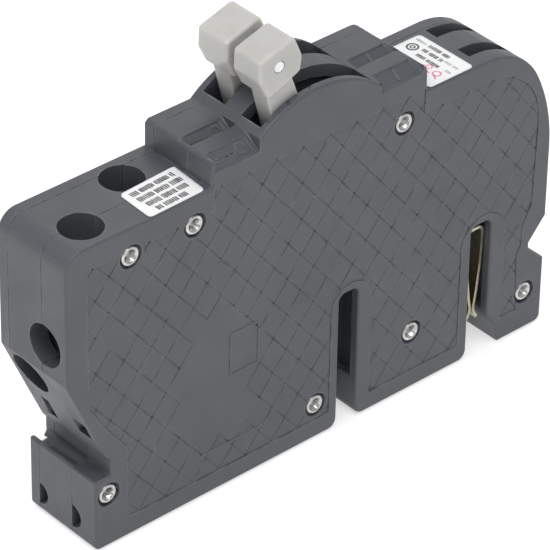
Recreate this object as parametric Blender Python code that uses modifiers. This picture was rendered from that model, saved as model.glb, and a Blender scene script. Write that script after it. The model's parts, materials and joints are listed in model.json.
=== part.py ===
"""Two-pole plug-in circuit breaker, modelled as the separate pieces it is assembled from.

X runs along the case, from the wire terminals (-X) to the bus-bar clips (+X). Y is the
thickness, with the near pole at -Y and the far pole at +Y. Z is up, towards the handles.
The case stands on z = 0 and is centred on the Z axis. Everything is drawn in its off
position. Lengths below are millimetres; MM turns them into metres.
"""

import math

import bmesh
import bpy
from mathutils import Matrix, Vector

MM = 0.001

# ---------------------------------------------------------------- driving sizes
HALF_LENGTH = 60.0
HALF_WIDTH = 9.525
TERMINAL_TOP = 68.4
NOSE_TOP = 67.6
SHOULDER = 73.9
GAP = 0.3

WALL = 1.5
CAVITY_OUT = HALF_WIDTH - WALL
CAVITY_IN = 1.0
NEAR_SPLIT = -2.7
FAR_SPLIT = 6.76

FOOT_X = -53.8
LIP_Z = 15.8
FOOT_ROUND = 1.2
BACK_ROUND = 4.0

PIVOT = (-0.7, 57.0)
HUMP_RADIUS = 22.4
OFF_LEAN = 17.5
HANDLE_SLOT = (-13.5, 13.7)
RIB_FAR = 1.9
HANDLE_WALL = 7.95
GRIPS = {"near": (-8.4, -0.9), "far": (0.8, 8.9)}
NECKS = {"near": (-7.6, -3.1), "far": (2.9, 7.4)}
TIE_PIN = (-9.6, 86.7)
TIE_RADIUS = 1.1

SHOULDER_OFF = (-26.2, -15.4)
SHOULDER_ON = (14.0, 26.3)
SLOPE_TOPS = (-6.0, 0.9)
SLOPE_WIDTH = 3.3
SLOPE_DROP = 2.3
SHOULDER_ROUND = 2.5

NOSE_FRONT_RADIUS = 39.0
NOSE_FRONT_CENTRE = (HALF_LENGTH - NOSE_FRONT_RADIUS, 41.0)
NOSE_CORNER_RADIUS = 16.0
NOSE_FOOT_ROUND = 1.4
NOSE_WALL = 2.5
VENT_X = (40.3, 52.0)

BUS_SLOTS = ((5.7, 10.5, 30.3), (39.8, 45.0, 30.6))
FLOOR = 33.2
POCKET_Y = (-7.7, -1.0)
POCKET_LOW = 8.5
POCKET_DEPTH = 2.0

RIVETS = (
    (-45.0, 62.1),
    (-30.1, 62.2),
    (20.9, 62.5),
    (24.7, 13.2),
    (0.2, 7.6),
    (-50.6, 11.8),
    (55.1, 8.8),
)
RIVET_HEAD = 2.08
RIVET_SHANK = 1.3
RIVET_SINK = 1.05
COUNTERBORE = 2.55

ARM_PIVOT = (-2.0, 44.0)
ARM_LENGTH = 36.0
ARM_OPEN = 6.5
CRADLE_PIVOT = (-8.0, 36.5)
TRIP_AXIS = (-12.7, 15.0)
PIN_RADIUS = 1.2

WIRE_HOLE = 4.4
SCREW_HOLE = 4.3
JAW_HALF = 3.3
JAW_SHEET = 0.6


class Pole:
    """Where one pole's pieces sit: its middle plane, its side walls and its terminal."""

    def __init__(self, name, side, screw_x, wire_z, jaw_x):
        self.name = name
        self.side = side
        self.centre = side * 4.5
        self.terminal_y = side * 3.5
        self.screw_x = screw_x
        self.wire_z = wire_z
        self.jaw_x = jaw_x

    def y(self, out):
        """World y of a place that lies `out` from the case's middle plane on this side."""
        return self.side * out


NEAR = Pole("near", -1, screw_x=-51.5, wire_z=46.5, jaw_x=42.4)
FAR = Pole("far", 1, screw_x=-36.3, wire_z=35.4, jaw_x=8.1)
POLES = (NEAR, FAR)

# ---------------------------------------------------------------- scene and materials
for old in list(bpy.data.objects):
    bpy.data.objects.remove(old)

parts = bpy.data.collections.new("circuit_breaker")
cutters = bpy.data.collections.new("cutters")
bpy.context.scene.collection.children.link(parts)
bpy.context.scene.collection.children.link(cutters)


def material(name, colour, roughness, metallic=0.0):
    made = bpy.data.materials.new(name)
    made.use_nodes = True
    made.diffuse_color = (*colour, 1.0)
    shader = made.node_tree.nodes["Principled BSDF"]
    shader.inputs["Base Color"].default_value = (*colour, 1.0)
    shader.inputs["Roughness"].default_value = roughness
    shader.inputs["Metallic"].default_value = metallic
    return made


CASE_GREY = material("case_grey", (0.115, 0.125, 0.135), 0.45)
HANDLE_WHITE = material("handle_white", (0.60, 0.60, 0.57), 0.35)
PIN_WHITE = material("pin_white", (0.80, 0.81, 0.83), 0.4)
NICKEL = material("nickel", (0.72, 0.70, 0.66), 0.25, 1.0)
JAW_BRASS = material("jaw_brass", (0.42, 0.39, 0.27), 0.35, 1.0)
STRAP_BRASS = material("strap_brass", (0.62, 0.50, 0.28), 0.35, 1.0)
COPPER = material("copper", (0.72, 0.38, 0.24), 0.3, 1.0)
STEEL = material("steel", (0.55, 0.56, 0.57), 0.35, 1.0)
CONTACT_SILVER = material("contact_silver", (0.85, 0.84, 0.80), 0.25, 1.0)
FIBRE = material("fibre", (0.36, 0.14, 0.08), 0.8)
BIMETAL = material("bimetal_strip", (0.60, 0.57, 0.50), 0.3, 1.0)
PAPER = material("label_paper", (0.86, 0.86, 0.85), 0.6)

# ---------------------------------------------------------------- shape helpers


def arc(centre, radius, start, end, steps):
    """Points on a circle in the X-Z plane, from one angle to the other, in degrees."""
    angles = [math.radians(start + (end - start) * i / steps) for i in range(steps + 1)]
    return [(centre[0] + radius * math.cos(a), centre[1] + radius * math.sin(a)) for a in angles]


def turned(point, centre, degrees):
    """A point of the X-Z plane turned about a centre, anticlockwise as seen from -Y."""
    a = math.radians(degrees)
    dx, dz = point[0] - centre[0], point[1] - centre[1]
    x = centre[0] + dx * math.cos(a) - dz * math.sin(a)
    z = centre[1] + dx * math.sin(a) + dz * math.cos(a)
    return x, z


def ribbon(points, thick):
    """The closed outline of a bent sheet, from its middle line and its thickness."""
    sides = ([], [])
    for i, (x, z) in enumerate(points):
        before = points[max(i - 1, 0)]
        after = points[min(i + 1, len(points) - 1)]
        dx, dz = after[0] - before[0], after[1] - before[1]
        scale = thick / 2 / math.hypot(dx, dz)
        sides[0].append((x - dz * scale, z + dx * scale))
        sides[1].append((x + dz * scale, z - dx * scale))
    return sides[0] + sides[1][::-1]


def place(name, mesh, look, is_cutter=False):
    made = bpy.data.objects.new(name, mesh)
    if is_cutter:
        made.hide_render = True
        made.display_type = "WIRE"
        cutters.objects.link(made)
    else:
        mesh.materials.clear()
        mesh.materials.append(look)
        parts.objects.link(made)
    return made


def mesh_from_curve(curve_object, name):
    """The evaluated mesh of a curve, in world space, with its caps joined to its sides."""
    bpy.context.view_layer.update()
    graph = bpy.context.evaluated_depsgraph_get()
    mesh = bpy.data.meshes.new_from_object(curve_object.evaluated_get(graph))
    mesh.name = name
    mesh.transform(curve_object.matrix_world)
    work = bmesh.new()
    work.from_mesh(mesh)
    bmesh.ops.remove_doubles(work, verts=work.verts, dist=1e-7)
    bmesh.ops.recalc_face_normals(work, faces=work.faces)
    work.to_mesh(mesh)
    work.free()
    bpy.data.objects.remove(curve_object)
    return mesh


def outline_curve(name, points):
    curve = bpy.data.curves.new(name, "CURVE")
    curve.dimensions = "2D"
    curve.fill_mode = "BOTH"
    spline = curve.splines.new("POLY")
    spline.points.add(len(points) - 1)
    for slot, (u, v) in zip(spline.points, points):
        slot.co = (u * MM, v * MM, 0.0, 1.0)
    spline.use_cyclic_u = True
    return curve


def plate(name, points, low, high, look=None, normal="Y", is_cutter=False):
    """A flat outline given thickness between two planes.

    With normal "Y" the outline is (x, z) and the planes are y. With "Z" it is (x, y)
    between z planes, and with "X" it is (y, z) between x planes.
    """
    curve = outline_curve(name, points)
    curve.extrude = (high - low) / 2 * MM
    holder = bpy.data.objects.new(name + "_outline", curve)
    bpy.context.scene.collection.objects.link(holder)
    middle = (low + high) / 2 * MM
    if normal == "Y":
        holder.matrix_world = Matrix.Translation((0, middle, 0)) @ Matrix.Rotation(math.pi / 2, 4, "X")
    elif normal == "Z":
        holder.matrix_world = Matrix.Translation((0, 0, middle))
    else:
        turn = Matrix(((0, 0, 1, 0), (1, 0, 0, 0), (0, 1, 0, 0), (0, 0, 0, 1)))
        holder.matrix_world = Matrix.Translation((middle, 0, 0)) @ turn
    return place(name, mesh_from_curve(holder, name), look, is_cutter)


def box(name, low, high, look=None, is_cutter=False):
    mesh = bpy.data.meshes.new(name)
    work = bmesh.new()
    bmesh.ops.create_cube(work, size=1.0)
    size = [(b - a) * MM for a, b in zip(low, high)]
    middle = [(a + b) / 2 * MM for a, b in zip(low, high)]
    bmesh.ops.scale(work, vec=size, verts=work.verts)
    bmesh.ops.translate(work, vec=middle, verts=work.verts)
    work.to_mesh(mesh)
    work.free()
    return place(name, mesh, look, is_cutter)


def rod(name, axis, centre, radius, low, high, look=None, sides=24, is_cutter=False, tip_radius=None):
    """A round bar along X, Y or Z. Its centre is given on the two other axes, in their order."""
    mesh = bpy.data.meshes.new(name)
    work = bmesh.new()
    end_radius = radius if tip_radius is None else tip_radius
    bmesh.ops.create_cone(
        work,
        cap_ends=True,
        segments=sides,
        radius1=radius * MM,
        radius2=end_radius * MM,
        depth=(high - low) * MM,
    )
    middle = (low + high) / 2 * MM
    first, second = centre[0] * MM, centre[1] * MM
    if axis == "X":
        move = Matrix.Translation((middle, first, second)) @ Matrix.Rotation(math.pi / 2, 4, "Y")
    elif axis == "Y":
        move = Matrix.Translation((first, middle, second)) @ Matrix.Rotation(-math.pi / 2, 4, "X")
    else:
        move = Matrix.Translation((first, second, middle))
    bmesh.ops.transform(work, matrix=move, verts=work.verts)
    work.to_mesh(mesh)
    work.free()
    return place(name, mesh, look, is_cutter)


def boolean(target, other, operation):
    step = target.modifiers.new(other.name, "BOOLEAN")
    step.operation = operation
    step.solver = "EXACT"
    step.object = other


def cut(target, *others):
    for other in others:
        boolean(target, other, "DIFFERENCE")


def join(target, *others):
    for other in others:
        boolean(target, other, "UNION")


def bevel(target, width, segments=2, angle=30.0):
    step = target.modifiers.new("rounded_edges", "BEVEL")
    step.width = width * MM
    step.segments = segments
    step.limit_method = "ANGLE"
    step.angle_limit = math.radians(angle)
    step.use_clamp_overlap = True


def shade_round(target, angle=35.0):
    """Smooth shading on the round faces, with sharp edges kept."""
    work = bmesh.new()
    work.from_mesh(target.data)
    for face in work.faces:
        face.smooth = True
    for edge in work.edges:
        if len(edge.link_faces) == 2:
            edge.smooth = edge.calc_face_angle(0.0) < math.radians(angle)
    work.to_mesh(target.data)
    work.free()


def set_origin(target, x, y, z):
    """Moves the object's origin without moving the object."""
    origin = Vector((x, y, z)) * MM
    target.data.transform(Matrix.Translation(-origin))
    target.location = origin


# ---------------------------------------------------------------- case outlines


def slot_edge(left, right, top, right_foot):
    """The outline of a bus-bar slot, from its right mouth over the top to its left mouth."""
    corner = 1.5
    mouth = 2.0
    points = right_foot if right_foot else arc((right + mouth, mouth), mouth, 270, 180, 4)
    points = list(points)
    points += arc((right - corner, top - corner), corner, 0, 90, 4)
    points += arc((left + corner, top - corner), corner, 90, 180, 4)
    points += arc((left - mouth, mouth), mouth, 0, -90, 4)
    return points


def nose(wall, steps):
    """The nose from its flat top round to its upright front, or the same curve a wall inside it.

    A corner arc runs into a larger front arc, and both touch where their centres line up.
    """
    front_x, front_z = NOSE_FRONT_CENTRE
    rise = NOSE_TOP - NOSE_CORNER_RADIUS - front_z
    between = NOSE_FRONT_RADIUS - NOSE_CORNER_RADIUS
    corner = (front_x + math.sqrt(between**2 - rise**2), front_z + rise)
    meet = math.degrees(math.asin(rise / between))
    points = arc(corner, NOSE_CORNER_RADIUS - wall, 90, meet, steps)
    return points + arc(NOSE_FRONT_CENTRE, NOSE_FRONT_RADIUS - wall, meet, 0, 2 * steps)[1:]


def case_outline():
    """The shared outline of all three mouldings, clockwise from the left foot."""
    left_start = math.degrees(math.asin((SHOULDER - PIVOT[1]) / HUMP_RADIUS))
    points = arc((FOOT_X + FOOT_ROUND, FOOT_ROUND), FOOT_ROUND, 270, 180, 3)
    points += [(FOOT_X, LIP_Z - 0.4), (FOOT_X + 0.4, LIP_Z)]
    points += [(-50.1, LIP_Z), (-50.1, 19.8), (-50.9, 19.8), (-51.7, 21.6)]
    points += [(-HALF_LENGTH, 40.2)]
    points += arc((BACK_ROUND - HALF_LENGTH, TERMINAL_TOP - BACK_ROUND), BACK_ROUND, 180, 90, 6)
    step = SHOULDER_OFF[0]
    points += [(step, TERMINAL_TOP), (step, SHOULDER - 0.8), (step + 0.8, SHOULDER)]
    points += arc(PIVOT, HUMP_RADIUS, 180 - left_start, left_start, 24)
    points += arc((SHOULDER_ON[1] - SHOULDER_ROUND, SHOULDER - SHOULDER_ROUND), SHOULDER_ROUND, 90, 0, 5)
    points += [(SHOULDER_ON[1], NOSE_TOP)]
    points += nose(0.0, 6)
    points += [(HALF_LENGTH, 25.0), (55.8, 20.2), (55.8, 18.8), (HALF_LENGTH, 15.0)]
    points += arc((HALF_LENGTH - NOSE_FOOT_ROUND, NOSE_FOOT_ROUND), NOSE_FOOT_ROUND, 0, -90, 3)
    right_foot = [(48.4, 0.0), (46.8, 5.2), (BUS_SLOTS[1][1], 7.5)]
    points += slot_edge(*BUS_SLOTS[1], right_foot)
    points += slot_edge(*BUS_SLOTS[0], None)
    return points


def chamber_outline():
    """The hollow that each pole's mechanism and arc chamber fill."""
    roof = HUMP_RADIUS - 2.5
    right = math.degrees(math.acos((16.8 - PIVOT[0]) / roof))
    left = math.degrees(math.acos((-18.0 - PIVOT[0]) / roof))
    points = [(-30.0, 4.0), (-6.0, 4.0), (-6.0, 13.5), (3.6, 13.5), (3.6, FLOOR)]
    points += [(HALF_LENGTH - NOSE_WALL, FLOOR)]
    points += nose(NOSE_WALL, 4)[::-1]
    points += [(24.6, NOSE_TOP - NOSE_WALL), (24.6, 59.0), (16.8, 59.0)]
    points += arc(PIVOT, roof, right, left, 12)
    points += [(-18.0, 58.0), (-30.0, 58.0)]
    return points


# ---------------------------------------------------------------- cutters shared by the case


def rivet_cutters():
    made = []
    for number, (x, z) in enumerate(RIVETS, 1):
        shaft = rod(f"cut_rivet_{number}", "Y", (x, z), RIVET_SHANK + GAP, -11, 11, sides=18, is_cutter=True)
        near = rod(f"cut_sink_near_{number}", "Y", (x, z), COUNTERBORE, -12, -HALF_WIDTH + RIVET_SINK,
                   sides=24, is_cutter=True)
        far = rod(f"cut_sink_far_{number}", "Y", (x, z), COUNTERBORE, HALF_WIDTH - RIVET_SINK, 12,
                  sides=24, is_cutter=True)
        made.append((shaft, near, far))
    return made


def terminal_cutters(pole):
    """The clamp's chamber, the wire entry and the screwdriver hole of one pole."""
    x, y, z = pole.screw_x, pole.terminal_y, pole.wire_z
    chamber = box(
        f"cut_{pole.name}_terminal",
        (x - 4.5, min(pole.y(-1.0), pole.y(CAVITY_OUT)), z - 6.3),
        (x + 4.5, max(pole.y(-1.0), pole.y(CAVITY_OUT)), z + 9.7),
        is_cutter=True,
    )
    wire = rod(f"cut_{pole.name}_wire", "X", (y, z), WIRE_HOLE, -62, x - 3, sides=32, is_cutter=True)
    driver = rod(f"cut_{pole.name}_driver", "Z", (x, y), SCREW_HOLE, z + 9, TERMINAL_TOP + 2, sides=32,
                 is_cutter=True)
    passage = box(
        f"cut_{pole.name}_passage",
        (x + 4, min(pole.y(2.95), pole.y(6.9)), z + 2.0),
        (-29, max(pole.y(2.95), pole.y(6.9)), z + 6.0),
        is_cutter=True,
    )
    return chamber, wire, driver, passage


def chamber_cutter(pole):
    low = min(pole.y(CAVITY_IN), pole.y(CAVITY_OUT))
    high = max(pole.y(CAVITY_IN), pole.y(CAVITY_OUT))
    return plate(f"cut_{pole.name}_chamber", chamber_outline(), low, high, is_cutter=True)


def jaw_passage(pole):
    """The way through the top of the bus-bar slot for the clip's stem."""
    low, high = sorted((pole.y(2.0), pole.y(7.0)))
    return box(f"cut_{pole.name}_stem", (pole.jaw_x - 1.5, low, 28), (pole.jaw_x + 1.5, high, FLOOR + 1),
               is_cutter=True)


def slot_pocket_cutters():
    """A shallow pocket in the right wall of each bus-bar slot, behind the near cover's outer wall."""
    made = []
    for number, (_, right, top) in enumerate(BUS_SLOTS, 1):
        made.append(box(f"cut_slot_pocket_{number}", (right - 0.5, POCKET_Y[0], POCKET_LOW),
                        (right + POCKET_DEPTH, POCKET_Y[1], top - 2.0), is_cutter=True))
    return made


def vent_cutter(pole):
    low, high = (-5.95, NEAR_SPLIT) if pole is NEAR else (2.9, 6.1)
    start, end = VENT_X
    return box(f"cut_{pole.name}_vent", (start, low, 58.0), (end, high, NOSE_TOP + 2), is_cutter=True)


def handle_slot_cutter(name, low, high):
    return box(name, (HANDLE_SLOT[0], low, 66.0), (HANDLE_SLOT[1], high, 84.0), is_cutter=True)


def slope_cutter(name, edge_y, reach):
    """The sloping faces beside the handles that carry the on and off marks."""
    made = []
    spans = ((SHOULDER_OFF[0] + 0.7, SHOULDER_OFF[1] + 0.4), (SHOULDER_ON[0] + 0.7, SHOULDER_ON[1] - 1.2))
    drop = SLOPE_DROP / SLOPE_WIDTH
    section = [
        (edge_y, SHOULDER),
        (edge_y, SHOULDER + 1.5),
        (edge_y - reach, SHOULDER + 1.5),
        (edge_y - reach, SHOULDER - drop * reach),
    ]
    for label, (low, high) in zip(("off", "on"), spans):
        made.append(plate(f"{name}_{label}", section, low, high, normal="X", is_cutter=True))
    return made


# ---------------------------------------------------------------- the three mouldings


def build_case():
    outline = case_outline()
    near_cover = plate("near_cover", outline, -HALF_WIDTH, NEAR_SPLIT - GAP / 2, CASE_GREY)
    middle_case = plate("middle_case", outline, NEAR_SPLIT + GAP / 2, FAR_SPLIT - GAP / 2, CASE_GREY)
    far_cover = plate("far_cover", outline, FAR_SPLIT + GAP / 2, HALF_WIDTH, CASE_GREY)

    for shaft, near_sink, far_sink in rivet_cutters():
        cut(near_cover, shaft, near_sink)
        cut(middle_case, shaft)
        cut(far_cover, shaft, far_sink)

    chambers = {pole.name: chamber_cutter(pole) for pole in POLES}
    terminals = {pole.name: terminal_cutters(pole) for pole in POLES}
    stems = {pole.name: jaw_passage(pole) for pole in POLES}
    vents = {pole.name: vent_cutter(pole) for pole in POLES}

    near_terminal, near_wire, near_driver, near_passage = terminals["near"]
    far_terminal, far_wire, far_driver, far_passage = terminals["far"]
    near_slot = handle_slot_cutter("cut_near_handle_slot", -HANDLE_WALL, NEAR_SPLIT)
    far_slot = handle_slot_cutter("cut_far_handle_slot", RIB_FAR, HANDLE_WALL)

    cut(near_cover, chambers["near"], near_terminal, near_wire, near_driver, near_passage)
    cut(near_cover, stems["near"], near_slot, vents["near"])
    cut(middle_case, chambers["near"], chambers["far"], near_terminal, near_wire, near_driver)
    cut(middle_case, far_terminal, far_wire, far_driver, far_passage)
    cut(middle_case, stems["near"], stems["far"], far_slot, vents["far"])
    cut(far_cover, chambers["far"], far_terminal, far_wire, far_driver, far_passage)
    cut(far_cover, stems["far"], far_slot)
    for pocket in slot_pocket_cutters():
        cut(near_cover, pocket)
        cut(middle_case, pocket)

    for label, edge_y, moulding in (("near", SLOPE_TOPS[0], near_cover), ("far", SLOPE_TOPS[1], middle_case)):
        cut(moulding, *slope_cutter(f"cut_{label}_slope", edge_y, SLOPE_WIDTH + 0.6))

    add_case_pivots(middle_case)
    cut_case_pockets(near_cover, middle_case, far_cover)
    for moulding in (near_cover, middle_case, far_cover):
        shade_round(moulding)


def add_case_pivots(middle_case):
    """Studs that the arms and cradles turn on, and the holes for the pins that cross the partition."""
    arm_stud = rod("add_arm_stud", "Y", ARM_PIVOT, PIN_RADIUS, -6.4, 6.4, sides=16, is_cutter=True)
    cradle_stud = rod("add_cradle_stud", "Y", CRADLE_PIVOT, PIN_RADIUS, -7.4, 7.4, sides=16, is_cutter=True)
    join(middle_case, arm_stud, cradle_stud)
    pin_hole = rod("cut_pivot_pin", "Y", PIVOT, PIN_RADIUS + GAP, -3, 3, sides=16, is_cutter=True)
    trip_hole = rod("cut_trip_bar", "Y", TRIP_AXIS, 1.5 + GAP, -3, 3, sides=16, is_cutter=True)
    cut(middle_case, pin_hole, trip_hole)


def cut_case_pockets(near_cover, middle_case, far_cover):
    """Small pockets in the foot and in the slanting end face, and the hook's trough."""
    outside, deep = FOOT_X - 1.0, FOOT_X + 3.0
    near_pocket = rod("cut_near_foot_pocket", "X", (NEAR_SPLIT, 4.6), 2.6, outside, deep, is_cutter=True)
    far_pocket = rod("cut_far_foot_pocket", "X", (FAR_SPLIT, 4.3), 2.4, outside, deep, is_cutter=True)
    trough = rod("cut_trough", "Y", (-51.4, 15.6), 1.6, NEAR_SPLIT - 0.1, 11, sides=24, is_cutter=True)
    near_vent = box("cut_near_end_vent", (-62, -8.0, 24.6), (-46, -4.2, 28.4), is_cutter=True)
    far_vent = box("cut_far_end_vent", (-62, 2.8, 22.8), (-45, 5.0, 28.0), is_cutter=True)
    cut(near_cover, near_pocket, near_vent)
    cut(middle_case, far_pocket, trough, far_vent)
    cut(far_cover, trough)


# ---------------------------------------------------------------- fasteners and labels


def build_rivets():
    """Tubular rivets: a turned profile with a rolled head at each end of a hollow shank."""
    reach = HALF_WIDTH - 0.15
    head = 0.6
    half = [
        (0.85, reach - 2.2),
        (0.85, reach - 0.8),
        (1.35, reach - 0.05),
        (1.6, reach),
        (RIVET_HEAD - 0.15, reach - 0.1),
        (RIVET_HEAD, reach - 0.3),
        (RIVET_HEAD, reach - head),
        (RIVET_SHANK, reach - head),
    ]
    profile = [(0.0, reach - 2.2)] + half
    profile += [(x, -y) for x, y in reversed(half)] + [(0.0, 2.2 - reach)]
    for number, (x, z) in enumerate(RIVETS, 1):
        mesh = bpy.data.meshes.new(f"rivet_{number}")
        work = bmesh.new()
        made = [work.verts.new((r * MM, 0, h * MM)) for r, h in profile]
        for a, b in zip(made, made[1:]):
            work.edges.new((a, b))
        work.to_mesh(mesh)
        work.free()
        rivet = place(f"rivet_{number}", mesh, NICKEL)
        spin = rivet.modifiers.new("turned", "SCREW")
        spin.axis = "Z"
        spin.steps = 20
        spin.render_steps = 20
        spin.use_merge_vertices = True
        spin.merge_threshold = 0.00001
        rivet.rotation_euler = (-math.pi / 2, 0, 0)
        rivet.location = (x * MM, 0, z * MM)


def build_labels():
    """Two paper labels on the case's top, clear of the screw holes."""
    thick = 0.15
    lift = 0.05
    corner = 0.6
    for name, top, low, high in (
        ("terminal_label", TERMINAL_TOP, (-40.2, -9.3), (-27.0, -0.95)),
        ("rating_label", NOSE_TOP, (26.9, -9.3), (38.3, 5.5)),
    ):
        points = arc((high[0] - corner, low[1] + corner), corner, 270, 360, 3)
        points += arc((high[0] - corner, high[1] - corner), corner, 0, 90, 3)
        points += arc((low[0] + corner, high[1] - corner), corner, 90, 180, 3)
        points += arc((low[0] + corner, low[1] + corner), corner, 180, 270, 3)
        plate(name, points, top + lift, top + lift + thick, PAPER, normal="Z")


# ---------------------------------------------------------------- handles


def handle_head():
    """The finger grip's outline in the off position."""
    points = [(-14.2, 85.0), (-14.2, 88.2), (-13.7, 89.2)]
    points += [(-6.4, 91.6), (-5.6, 91.1), (-4.9, 89.7), (-4.1, 86.9), (-4.3, 84.5), (-5.6, 83.2)]
    points += [(-11.9, 80.4)]
    return points


def handle_leg():
    """The neck and hub below the grip, drawn upright about the pivot and then leaned over."""
    hub = 5.0
    upright = [(-3.5, 26.0), (-4.1, 14.0)]
    upright += arc((0, 0), hub, 135, 245, 6)
    upright += [(-1.4, -8.4), (1.4, -8.4)]
    upright += arc((0, 0), hub, 295, 405, 6)
    upright += [(3.6, 14.0), (3.0, 26.0)]
    leaned = [turned(point, (0, 0), OFF_LEAN) for point in upright]
    return [(PIVOT[0] + x, PIVOT[1] + z) for x, z in leaned]


def build_handles():
    for pole in POLES:
        low, high = GRIPS[pole.name]
        grip = plate(f"{pole.name}_handle", handle_head(), low, high, HANDLE_WHITE)
        bevel(grip, 0.6, segments=2, angle=40)
        neck_low, neck_high = NECKS[pole.name]
        neck = plate(f"add_{pole.name}_neck", handle_leg(), neck_low, neck_high, is_cutter=True)
        join(grip, neck)
        bore = rod(f"cut_{pole.name}_handle_bore", "Y", PIVOT, PIN_RADIUS + GAP, -10, 10, sides=16,
                   is_cutter=True)
        tie = rod(f"cut_{pole.name}_tie_hole", "Y", TIE_PIN, TIE_RADIUS + GAP / 2, -10, 10, sides=20,
                  is_cutter=True)
        cut(grip, bore, tie)
        set_origin(grip, PIVOT[0], 0, PIVOT[1])
    rod("handle_pivot_pin", "Y", PIVOT, PIN_RADIUS, -7.7, 7.7, STEEL, sides=16)
    tie_pin = rod("handle_tie_pin", "Y", TIE_PIN, TIE_RADIUS, -8.5, 9.0, PIN_WHITE, sides=20)
    shade_round(tie_pin)
    set_origin(tie_pin, PIVOT[0], 0, PIVOT[1])


# ---------------------------------------------------------------- contacts


def build_contact_arm(pole):
    """The swinging contact arm, open by ARM_OPEN, with its contact button and its spring."""
    def leaned(points):
        moved = [(ARM_PIVOT[0] + x, ARM_PIVOT[1] + z) for x, z in points]
        return [turned(point, ARM_PIVOT, ARM_OPEN) for point in moved]

    blade = [(-4.6, -1.6), (-3.6, -2.4), (4.0, -2.4), (8.0, -2.0), (ARM_LENGTH + 1.6, -2.0)]
    blade += [(ARM_LENGTH + 2.2, -1.2), (ARM_LENGTH + 2.2, 0.4), (ARM_LENGTH + 1.2, 1.2)]
    blade += [(10.0, 2.0), (3.6, 2.4), (-3.6, 2.4), (-4.6, 1.6)]
    c = pole.centre
    arm = plate(f"{pole.name}_contact_arm", leaned(blade), c - 0.8, c + 0.8, COPPER)
    cut(arm, rod(f"cut_{pole.name}_arm_bore", "Y", ARM_PIVOT, PIN_RADIUS + GAP, -10, 10, sides=16,
                 is_cutter=True))
    set_origin(arm, ARM_PIVOT[0], 0, ARM_PIVOT[1])

    button = rod(f"{pole.name}_moving_contact", "Z", (0, 0), 2.2, -1.3, 0.0, CONTACT_SILVER, sides=20,
                 tip_radius=2.0)
    shade_round(button)
    spot = turned((ARM_PIVOT[0] + ARM_LENGTH - 0.4, ARM_PIVOT[1] - 2.0 - GAP), ARM_PIVOT, ARM_OPEN)
    set_on_arm(button, spot, c)

    coil = bpy.data.curves.new(f"{pole.name}_toggle_spring", "CURVE")
    coil.dimensions = "3D"
    coil.bevel_depth = 0.3 * MM
    coil.bevel_resolution = 1
    coil.use_fill_caps = True
    turns, per_turn, radius, start, length = 8, 9, 1.25, 9.5, 17.0
    count = turns * per_turn + 1
    path = coil.splines.new("POLY")
    path.points.add(count - 1)
    for i, slot in enumerate(path.points):
        a = 2 * math.pi * i / per_turn
        x = start + length * i / (count - 1)
        slot.co = (x * MM, radius * math.cos(a) * MM, (4.6 + radius * math.sin(a)) * MM, 1.0)
    spring = bpy.data.objects.new(f"{pole.name}_toggle_spring", coil)
    coil.materials.append(STEEL)
    parts.objects.link(spring)
    spring.location = (ARM_PIVOT[0] * MM, c * MM, ARM_PIVOT[1] * MM)
    spring.rotation_euler = (0, -math.radians(ARM_OPEN), 0)


def set_on_arm(target, spot, y):
    """Stands a piece drawn about the origin at a place on the opened arm, square to the arm."""
    lean = Matrix.Rotation(-math.radians(ARM_OPEN), 4, "Y")
    origin = Matrix.Translation(Vector((spot[0], y, spot[1])) * MM)
    target.data.transform(origin @ lean)
    set_origin(target, ARM_PIVOT[0], 0, ARM_PIVOT[1])


def build_line_side(pole):
    """The bus-bar clip, the strap above it, the fixed contact and the arc chute."""
    c = pole.centre
    crown, half, bend = 28.5, 2.0, 1.2
    blade = [(1.95, 24.0), (1.7, 19.6), (1.25, 15.2), (0.85, 12.2)]
    blade += [(0.5, 10.3), (0.5, 9.4), (0.8, 8.3), (1.5, 7.1)]
    bends = arc((half - bend, crown - bend), bend, 0, 90, 5)
    right = [(pole.jaw_x + x, z) for x, z in blade[::-1] + bends]
    left = [(2 * pole.jaw_x - x, z) for x, z in reversed(right)]
    middle = right + left
    clip = plate(f"{pole.name}_line_jaw", ribbon(middle, JAW_SHEET), c - JAW_HALF, c + JAW_HALF, JAW_BRASS)
    stem = box(
        f"add_{pole.name}_stem",
        (pole.jaw_x - JAW_SHEET, c - 2.0, crown - 0.1),
        (pole.jaw_x + JAW_SHEET, c + 2.0, FLOOR),
        is_cutter=True,
    )
    join(clip, stem)

    left_end, right_end = min(pole.jaw_x, 29.0) - 2.6, max(pole.jaw_x, 36.0) + 2.6
    base = FLOOR + GAP
    box(f"{pole.name}_line_strap", (left_end, c - 2.4, base), (right_end, c + 2.4, base + 1.2), STRAP_BRASS)
    contact_x = ARM_PIVOT[0] + ARM_LENGTH - 0.4
    pad = rod(f"{pole.name}_fixed_contact", "Z", (contact_x, c), 2.3, base + 1.2 + GAP, base + 2.4,
              CONTACT_SILVER, sides=20)
    shade_round(pad)

    teeth, pitch, tooth = 6, 3.0, 1.0
    root, tip, first = 50.4, 39.4, 38.4
    comb = [(root + 1.3, first), (root + 1.3, first + (teeth - 1) * pitch + tooth)]
    for i in reversed(range(teeth)):
        z = first + i * pitch
        comb += [(tip, z + tooth), (tip, z)]
        if i:
            comb += [(root, z), (root, z - pitch + tooth)]
    plate(f"{pole.name}_arc_chute", comb, c - 2.9, c + 2.9, FIBRE)


# ---------------------------------------------------------------- trip side


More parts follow.
